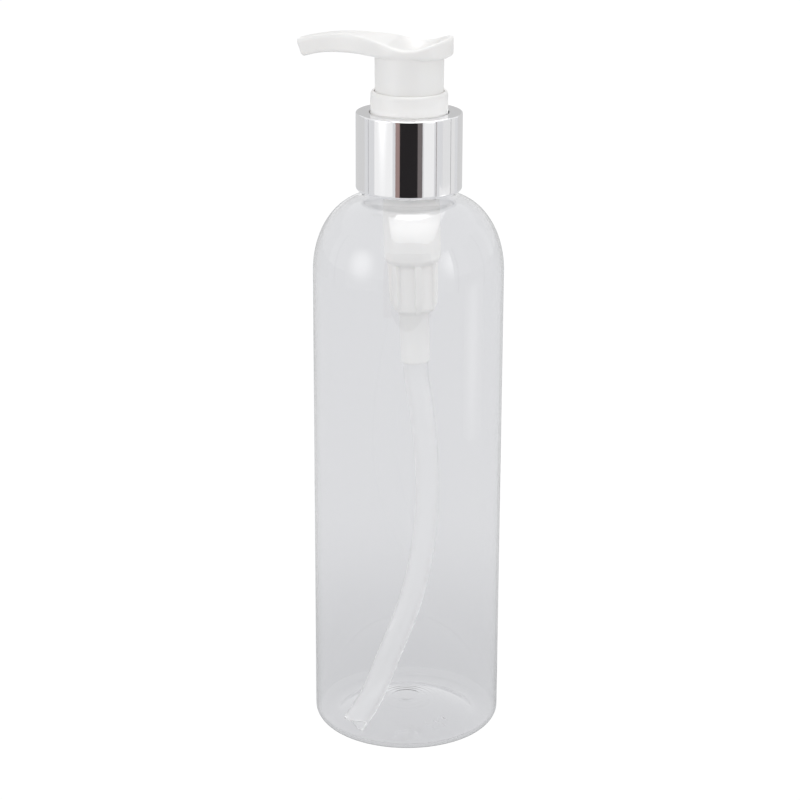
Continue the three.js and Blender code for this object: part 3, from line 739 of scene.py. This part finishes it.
def make_piston():
    """The soft piston, with a lip at each end and a bore that slips on the stem."""
    bottom, top = PISTON_BOTTOM, PISTON_TOP
    bore, waist = 3.55, 5.6
    outline = [(bore, bottom + 0.6, 0.1), (4.2, bottom, 0.1), (5.3, bottom + 0.5, 0.2),
               (PISTON_R, bottom, 0.05), (PISTON_R, bottom + 0.8, 0.15), (waist, bottom + 1.5, 0.3),
               (waist, top - 1.4, 0.3), (PISTON_R, top - 0.6, 0.15), (PISTON_R, top, 0.05),
               (5.2, top - 0.8, 0.2), (bore, top - 0.8, 0.1)]
    points, faces = turned(outline, leaned=True)
    new_piece("pump_piston", points, faces, SEAL, "piston", "piston")


def make_stem():
    """The hollow stem, from the piston up into the head."""
    top = HEAD_ROOF - 1.8
    collar = PISTON_TOP + 1.4
    bottom = PISTON_BOTTOM + 0.4
    collar_r = 4.4
    outline = [(STEM_BORE_R, bottom, 0.1), (STEM_R, bottom, 0.15), (STEM_R, collar, 0.15),
               (collar_r, collar, 0.2), (collar_r, collar + 0.9, 0.2), (STEM_R, collar + 1.4, 0.2),
               (STEM_R, top, 0.4), (STEM_BORE_R, top, 0.15)]
    points, faces = turned(outline)
    new_piece("pump_stem", points, faces, WHITE, "head", "stem")


# ---- pump head ---------------------------------------------------------------------------

# Half-width of the head along X, and the heights of its top edge and its underside.
HALF_WIDTH = [(SPOUT_END, 2.4), (-24, 2.8), (-17, 3.5), (-12.5, 4.8), (-9, 6.4), (-5.5, 8.3),
              (-2, 9.35), (1.5, 9.4), (5, 8.9), (8.3, 7.3), (10.4, 4.9), (LIP_END, 2.2)]
TOP_EDGE = [(SPOUT_END, 190.2), (-26, 191.2), (-21, 192.0), (-15.5, 192.25), (-9, 191.65),
            (-5.4, 191.05), (-2.4, 190.4), (0, 190.0), (2.2, 189.95), (5, 190.4), (8, 191.35),
            (10.4, 191.95), (LIP_END, 191.9)]
UNDERSIDE = [(SPOUT_END, 185.7), (-28.4, 186.0), (-24.5, 186.8), (-19, 187.3), (-13, 187.35),
             (-8.6, 187.2), (LIP_END, HEAD_UNDERSIDE)]
DISH_DEPTH = 1.5
DISH_CENTRE = 2.4
DISH_REACH = 6.6


SPOUT_CUT_START = -22
SPOUT_CUT_SLOPE = 0.36
half_width_curve, top_edge_curve, underside_curve = (
    np.array(smooth_curve(table, 400)) for table in (HALF_WIDTH, TOP_EDGE, UNDERSIDE))


def along_head(curve, x):
    """The value of a smooth curve at x."""
    return float(np.interp(x, curve[:, 0], curve[:, 1]))


def head_section(x):
    """One closed section of the head across Y. The top is scooped out between the two edges."""
    half = along_head(half_width_curve, x)
    top = along_head(top_edge_curve, x)
    bottom = along_head(underside_curve, x)
    end = min(1.0, (x - SPOUT_END) / 0.5, (LIP_END - x) / 1.1)
    rounding = 1 - math.sqrt(max(0.0, 1 - (1 - end) ** 2))
    half -= 0.8 * rounding
    top -= 0.8 * rounding
    bottom += 0.5 * rounding
    edge = min(0.75, 0.3 * half) + 0.55 * max(0.0, 1 - ((x - 1) / 8) ** 2)
    corners = [(bottom + edge, False), (top - edge, True)]
    section = []
    for side in (1, -1):
        run = []
        for z, upper in corners[::side]:
            for step in range(6):
                angle = math.radians(18 * step)
                if side == -1:
                    angle = math.pi / 2 - angle
                turn = angle if upper else angle - math.pi / 2
                run.append((side * (half - edge + edge * math.cos(turn)), z + edge * math.sin(turn)))
        section += run
        if side == 1:
            section += [(y, top) for y in np.linspace(half - edge, edge - half, 14)[1:-1]]
    section += [(y, bottom) for y in np.linspace(edge - half, half - edge, 8)[1:-1]]
    shear = SPOUT_CUT_SLOPE * max(0.0, (SPOUT_CUT_START - x) / (SPOUT_CUT_START - SPOUT_END))
    scoop_along = max(0.0, 1 - ((x - DISH_CENTRE) / DISH_REACH) ** 2)
    points = []
    for y, z in section:
        scoop = scoop_along * max(0.0, 1 - (y / (half - 0.9)) ** 2) ** 0.8
        if z > top - 0.02:
            z -= DISH_DEPTH * scoop
        points.append(Vector((x + shear * (top - z), y, z)))
    return points


def head_block():
    """The head before its skirt and its bores, from the spout's end to the lip."""
    stations = [SPOUT_END + 0.5 * (1 - math.cos(math.radians(a))) for a in (0, 20, 40, 60, 80)]
    stations += list(np.linspace(SPOUT_END + 0.8, LIP_END - 1.3, 90))
    stations += [LIP_END - 1.1 * (1 - math.sin(math.radians(a))) for a in (0, 20, 40, 60, 75, 90)]
    rings = [head_section(x) for x in stations]
    first = sum(rings[0], Vector()) / len(rings[0])
    last = sum(rings[-1], Vector()) / len(rings[-1])
    return loft([[first]] + rings + [[last]], closed=False)


def spout_bore():
    """The way for the liquid, from the roof over the stem to the spout's end."""
    knots = [(0, 0, 185.5), (-4, 0, 186.3), (-8, 0, 188.3), (-12, 0, 189.5), (-20, 0, 189.7),
             (-27, 0, 188.8), (-32, 0, 187.7)]
    return rod_along(smooth_curve(knots, 48), SPOUT_BORE_R, sides=24)


def solid(points, faces):
    """A plain object for cutting and joining, with its faces turned outwards."""
    mesh = bpy.data.meshes.new("solid")
    mesh.from_pydata([Vector(p) * MM for p in points], [], faces)
    made = bpy.data.objects.new("solid", mesh)
    scene.collection.objects.link(made)
    volume = sum(t.area * t.normal.dot(t.center) for t in mesh.polygons)
    if volume < 0:
        mesh.flip_normals()
    return made


def combined(body, tool, operation):
    """body after a boolean with tool, which is used up."""
    cut = body.modifiers.new("cut", "BOOLEAN")
    cut.operation = operation
    cut.solver = "EXACT"
    cut.object = tool
    baked(body)
    bpy.data.objects.remove(tool)
    return body


def baked(piece):
    """Replaces a piece's mesh by what its modifiers make of it."""
    graph = bpy.context.evaluated_depsgraph_get()
    mesh = bpy.data.meshes.new_from_object(piece.evaluated_get(graph), depsgraph=graph)
    piece.modifiers.clear()
    piece.data = mesh
    return piece


def make_head():
    """The actuator: block and skirt joined, hollowed and bored, then evened into one skin."""
    head = solid(*head_block())
    skirt = [(0, SKIRT_BOTTOM), (SKIRT_BOTTOM_R, SKIRT_BOTTOM), (SKIRT_TOP_R, HEAD_UNDERSIDE),
             (SKIRT_TOP_R, HEAD_UNDERSIDE + 1), (0, HEAD_UNDERSIDE + 1)]
    below = SKIRT_BOTTOM - 1
    hollow = [(0, below), (SKIRT_BORE_R, below), (SKIRT_BORE_R, HEAD_ROOF), (0, HEAD_ROOF)]
    boss_r, boss_bottom, boss_top = 4.3, SKIRT_BOTTOM + 1.4, HEAD_ROOF + 0.5
    boss = [(0, boss_bottom), (boss_r, boss_bottom), (boss_r, boss_top), (0, boss_top)]
    stem_end, way_end = HEAD_ROOF - 1.5, HEAD_ROOF + 0.6
    bore = [(0, below), (STEM_R + GAP, below), (STEM_R + GAP, stem_end), (STEM_BORE_R, stem_end),
            (STEM_BORE_R, way_end), (0, way_end)]
    combined(head, solid(*turned(skirt, 160)), "UNION")
    combined(head, solid(*turned(hollow, 128)), "DIFFERENCE")
    combined(head, solid(*turned(boss, 96)), "UNION")
    combined(head, solid(*turned(bore, 64)), "DIFFERENCE")
    combined(head, solid(*spout_bore()), "DIFFERENCE")
    remesh = head.modifiers.new("even", "REMESH")
    remesh.mode = "VOXEL"
    remesh.voxel_size = HEAD_VOXEL * MM
    soften = head.modifiers.new("soften", "SMOOTH")
    soften.factor = 0.5
    soften.iterations = 6
    baked(head)
    head.name = "pump_head"
    head.data.shade_smooth()
    head.data.materials.clear()
    head.data.materials.append(WHITE)
    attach(head, "head")
    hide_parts("actuator_head")


# ---- dip tube ----------------------------------------------------------------------------


def tube_line():
    """The tube's centre line, straight in its leaning socket and then curled in one plane."""
    knots = lean([(0, 0, TUBE_TOP), (0, 0, (TUBE_TOP + SOCKET_BOTTOM) / 2), (0, 0, SOCKET_BOTTOM)])
    mouth = knots[-1]
    across = Vector((math.cos(TUBE_AZIMUTH), math.sin(TUBE_AZIMUTH), 0))
    knots += [Vector((mouth.x, mouth.y, z)) + across * along for along, z in TUBE_ROUTE]
    return smooth_curve(knots, TUBE_STEPS)


def make_tube():
    """The tube's wall, with a V cut across its foot."""
    angles = np.linspace(0, 2 * math.pi, TUBE_SIDES, endpoint=False)
    frames = sweep_frames(tube_line())
    sideways = Vector((-math.sin(TUBE_AZIMUTH), math.cos(TUBE_AZIMUTH), 0))
    length = sum((b[0] - a[0]).length for a, b in zip(frames, frames[1:]))

    def ring(index, radius):
        point, tangent, normal, other = frames[index]
        inward = tangent.cross(sideways)
        travelled = sum((b[0] - a[0]).length for a, b in zip(frames[:index], frames[1:index + 1]))
        near_foot = max(0.0, 1 - (length - travelled) / (3 * TUBE_NOTCH))
        made = []
        for angle in angles:
            spoke = (normal * math.cos(angle) + other * math.sin(angle)) * radius
            notch = TUBE_NOTCH * max(0.0, 1 - abs(spoke.dot(inward)) / (TUBE_R * 0.94))
            made.append(point + spoke - tangent * notch * near_foot)
        return made

    last = len(frames) - 1
    rings = [ring(0, TUBE_BORE_R), ring(0, TUBE_R - 0.12)]
    rings += [ring(i, TUBE_R) for i in range(last)]
    rings += [ring(last, TUBE_R - 0.03), ring(last, TUBE_BORE_R + 0.05)]
    rings += [ring(i, TUBE_BORE_R) for i in range(last - 1, 0, -1)]
    points, faces = loft(rings, closed=True)
    tube = new_piece("curved_dip_tube", points, faces, TUBE, "pump_body", "dip_tube")
    lit_through(tube)


# ---- the stage ---------------------------------------------------------------------------

# The camera stands in front, a little to the right of the spout's side, and looks down.
VIEW_AZIMUTH = math.radians(15)
CAMERA_DISTANCE = 614.1
CAMERA_SIDE = -2.12
CAMERA_HEIGHT = 295.0
CAMERA_PITCH = math.radians(18.19)
CAMERA_ROLL = math.radians(0.209)
CAMERA_LENS = 107.46


def around(azimuth_deg, distance, z):
    """A point at an azimuth from the camera's side, positive to the right, in millimetres."""
    angle = VIEW_AZIMUTH - math.pi / 2 + math.radians(azimuth_deg)
    return Vector((distance * math.cos(angle), distance * math.sin(angle), z))


def make_camera():
    """The camera at the photograph's angle."""
    camera = bpy.data.objects.new("camera", bpy.data.cameras.new("camera"))
    scene.collection.objects.link(camera)
    turn = Matrix.Rotation(VIEW_AZIMUTH, 4, "Z")
    place = turn @ Vector((CAMERA_SIDE, -CAMERA_DISTANCE, CAMERA_HEIGHT)) * MM
    tilt = Matrix.Rotation(math.pi / 2 - CAMERA_PITCH, 4, "X") @ Matrix.Rotation(CAMERA_ROLL, 4, "Z")
    camera.matrix_world = Matrix.Translation(place) @ turn @ tilt
    camera.data.lens = CAMERA_LENS
    camera.data.sensor_width = 36
    camera.data.clip_start = 0.01
    scene.camera = camera


def glow(name, colour, strength):
    """A material of plain light."""
    made = bpy.data.materials.new(name)
    made.use_nodes = True
    tree = made.node_tree
    tree.nodes.clear()
    emission = tree.nodes.new("ShaderNodeEmission")
    set_inputs(emission, Color=(*colour, 1), Strength=strength)
    output = tree.nodes.new("ShaderNodeOutputMaterial")
    tree.links.new(emission.outputs["Emission"], output.inputs["Surface"])
    return made


def panel(name, corners, material, shines):
    """A flat studio panel that the camera never sees. One that shines lights matt surfaces;
    the others are only there to be mirrored."""
    mesh = bpy.data.meshes.new(name)
    mesh.from_pydata([c * MM for c in corners], [], [tuple(range(len(corners)))])
    made = bpy.data.objects.new(name, mesh)
    scene.collection.objects.link(made)
    mesh.materials.append(material)
    made.visible_camera = False
    made.visible_shadow = False
    made.visible_diffuse = shines
    made.visible_glossy = not shines
    made.visible_transmission = False
    return made


def card(name, azimuth, distance, width, bottom, top, material):
    """An upright panel that faces the bottle."""
    centre = around(azimuth, distance, (bottom + top) / 2)
    side = Vector((-centre.y, centre.x, 0)).normalized() * width / 2
    rise = Vector((0, 0, (top - bottom) / 2))
    corners = [centre - side - rise, centre + side - rise, centre + side + rise, centre - side + rise]
    return panel(name, corners, material, shines=False)


def octabox(name, height, shift, half_outline, material, shines):
    """An eight-sided softbox overhead. half_outline holds (half-width, distance forward) of its
    right-hand corners; shift moves it to the right."""
    right = around(90, 1, 0)
    forward = around(0, 1, 0)
    corners = [right * (shift + across) + forward * along for across, along in half_outline]
    corners += [right * (shift - across) + forward * along for across, along in reversed(half_outline)]
    return panel(name, [c + Vector((0, 0, height)) for c in corners], material, shines)


def hot_glow(name, azimuth, distance, height, reach, middle, rim):
    """A panel's glow that fades from its hot middle to its rim."""
    made = glow(name, WHITE_LIGHT, rim)
    tree = made.node_tree
    place = tree.nodes.new("ShaderNodeTexCoord")
    away = tree.nodes.new("ShaderNodeVectorMath")
    away.operation = "DISTANCE"
    away.inputs[1].default_value = around(azimuth, distance, height) * MM
    fade = tree.nodes.new("ShaderNodeMapRange")
    fade.interpolation_type = "SMOOTHERSTEP"
    set_inputs(fade, From_Max=reach * MM, To_Min=middle, To_Max=rim)
    tree.links.new(place.outputs["Object"], away.inputs[0])
    tree.links.new(away.outputs["Value"], fade.inputs["Value"])
    tree.links.new(fade.outputs["Result"], tree.nodes["Emission"].inputs["Strength"])
    return made


WHITE_LIGHT = (1, 1, 1)
# The room that lights the pump, and the brightness of the paper behind it to the camera.
ROOM_GREY = (0.9, 0.903, 0.91)
PAPER_WHITE = 1.05
# The floor's own grey, the grey of the painted shadow round the bottle's foot and how far
# that reaches, and how bright and how nearly complete the burnt-out look is to the camera.
FLOOR_GREY = (0.79, 0.793, 0.8)
FLOOR_PAINTED_SHADOW = (0.66, 0.663, 0.672)
SHADE_FULL_R = 20
SHADE_END_R = 160
FLOOR_BURNT = 1.08
FLOOR_BURNT_SHARE = 0.86
FLOOR_REACH = 6.0  # metres


def make_world():
    """Even light from all round, with a whiter backdrop for the camera alone."""
    world = bpy.data.worlds.new("studio")
    world.use_nodes = True
    tree = world.node_tree
    room = tree.nodes["Background"]
    set_inputs(room, Color=(*ROOM_GREY, 1), Strength=1.0)
    paper = tree.nodes.new("ShaderNodeBackground")
    set_inputs(paper, Color=(*WHITE_LIGHT, 1), Strength=PAPER_WHITE)
    seen = tree.nodes.new("ShaderNodeLightPath")
    mix = tree.nodes.new("ShaderNodeMixShader")
    tree.links.new(seen.outputs["Is Camera Ray"], mix.inputs["Fac"])
    tree.links.new(room.outputs["Background"], mix.inputs[1])
    tree.links.new(paper.outputs["Background"], mix.inputs[2])
    tree.links.new(mix.outputs["Shader"], tree.nodes["World Output"].inputs["Surface"])
    scene.world = world


def make_floor():
    """A pale floor. The camera sees it nearly burnt out, as white paper under strong light. Through
    the bottle it shows a painted shadow, a little darker round the foot, in place of the bottle's own
    shade."""
    mesh = bpy.data.meshes.new("floor")
    corners = [(FLOOR_REACH * x, FLOOR_REACH * y, 0) for x, y in ((-1, -1), (1, -1), (1, 1), (-1, 1))]
    mesh.from_pydata(corners, [], [(0, 1, 2, 3)])
    floor = bpy.data.objects.new("floor", mesh)
    scene.collection.objects.link(floor)
    paper = bpy.data.materials.new("pale_floor")
    paper.use_nodes = True
    tree = paper.node_tree
    tree.nodes.clear()
    matt = tree.nodes.new("ShaderNodeBsdfDiffuse")
    # Painted shadow: a grey that darkens towards the bottle's foot, in place of the shadow that the
    # clear bottle does not cast.
    place = tree.nodes.new("ShaderNodeTexCoord")
    away = tree.nodes.new("ShaderNodeVectorMath")
    away.operation = "LENGTH"
    shade = tree.nodes.new("ShaderNodeMapRange")
    shade.interpolation_type = "SMOOTHSTEP"
    set_inputs(shade, From_Min=SHADE_FULL_R * MM, From_Max=SHADE_END_R * MM, To_Min=NOISE_LOW,
               To_Max=NOISE_HIGH)
    tree.links.new(place.outputs["Object"], away.inputs[0])
    tree.links.new(away.outputs["Value"], shade.inputs["Value"])
    grey = tones(tree, shade.outputs["Result"], FLOOR_PAINTED_SHADOW, FLOOR_GREY)
    tree.links.new(grey, matt.inputs["Color"])
    bright = tree.nodes.new("ShaderNodeEmission")
    set_inputs(bright, Strength=FLOOR_BURNT)
    seen = tree.nodes.new("ShaderNodeLightPath")
    share = tree.nodes.new("ShaderNodeMath")
    share.operation = "MULTIPLY"
    share.inputs[1].default_value = FLOOR_BURNT_SHARE
    mix = tree.nodes.new("ShaderNodeMixShader")
    output = tree.nodes.new("ShaderNodeOutputMaterial")
    tree.links.new(seen.outputs["Is Camera Ray"], share.inputs[0])
    tree.links.new(share.outputs["Value"], mix.inputs["Fac"])
    tree.links.new(matt.outputs["BSDF"], mix.inputs[1])
    tree.links.new(bright.outputs["Emission"], mix.inputs[2])
    tree.links.new(mix.outputs["Shader"], output.inputs["Surface"])
    mesh.materials.append(paper)


# The softboxes that the bottle and the collar mirror: azimuth, distance, width, bottom, top,
# then the middle of the glow (azimuth, distance, height), its reach and its two strengths.
SOFTBOXES = {
    "left_softbox": ((-57, 520, 420, 5, 420), (-59, 520, 245, 240, 3.3, 0.92)),
    "right_softbox": ((43, 520, 215, 5, 420), (57, 520, 280, 240, 3.4, 0.9)),
    "right_strip": ((82, 250, 130, 8, 98), (80, 250, 45, 62, 1.5, 0.88)),
}
# Plain panels that the collar mirrors: azimuth, distance, width, bottom, top, colour, strength.
PLAIN_CARDS = {
    "right_wall": (96, 540, 380, 0, 420, WHITE_LIGHT, 0.78),
    "left_wall": (-135, 560, 520, 0, 420, WHITE_LIGHT, 0.66),
    "right_back_wall": (150, 560, 480, 0, 420, WHITE_LIGHT, 0.66),
    "back_wall": (180, 620, 900, 200, 420, WHITE_LIGHT, 0.58),
    "left_stand": (-97, 500, 12, 0, 420, (0.36, 0.35, 0.36), 1.0),
    "near_stand": (60, 500, 14, 0, 420, (0.3, 0.27, 0.27), 1.0),
    "far_stand": (100, 500, 12, 0, 420, (0.34, 0.33, 0.34), 1.0),
    "dark_room": (-0.5, 430, 305, 0, 400, (0.021, 0.019, 0.02), 1.0),
    "left_dark_edge": (-24.3, 450, 73, 0, 400, (0.33, 0.235, 0.22), 1.0),
    "right_dark_edge": (23.2, 450, 81, 0, 400, (0.17, 0.15, 0.15), 1.0),
}
OVERHEAD = 900
LIGHT_BOUNCES = 24  # a path through the bottle and the tube crosses eight surfaces or more


def make_lights():
    """An overhead lamp for matt surfaces, and what the clear and metal surfaces mirror."""
    octabox("top_light", OVERHEAD, 0, [(120, 580), (280, 420), (280, 180), (120, 20)],
            glow("top_light", WHITE_LIGHT, 1.05), shines=True)
    octabox("octabox", OVERHEAD, 80, [(320, 700), (390, 520), (300, 0), (130, -1700)],
            hot_glow("octabox", 14, 175, OVERHEAD, 600, 4.9, 2.5), shines=False)
    for name, (place, heat) in SOFTBOXES.items():
        card(name, *place, hot_glow(name, *heat))
    for name, (*place, colour, strength) in PLAIN_CARDS.items():
        card(name, *place, glow(name, colour, strength))


def make_view():
    scene.cycles.max_bounces = LIGHT_BOUNCES
    scene.cycles.transmission_bounces = LIGHT_BOUNCES
    scene.view_settings.view_transform = "Standard"


# ---- the dispenser -----------------------------------------------------------------------

make_camera()
make_bottle()
make_closure_cap()
make_collar_shell()
make_gasket()
make_housing()
make_lock_ring()
make_retainer()
make_ball()
make_spring()
make_rod()
make_piston()
make_stem()
make_head()
make_tube()
make_floor()
make_world()
make_lights()
make_view()
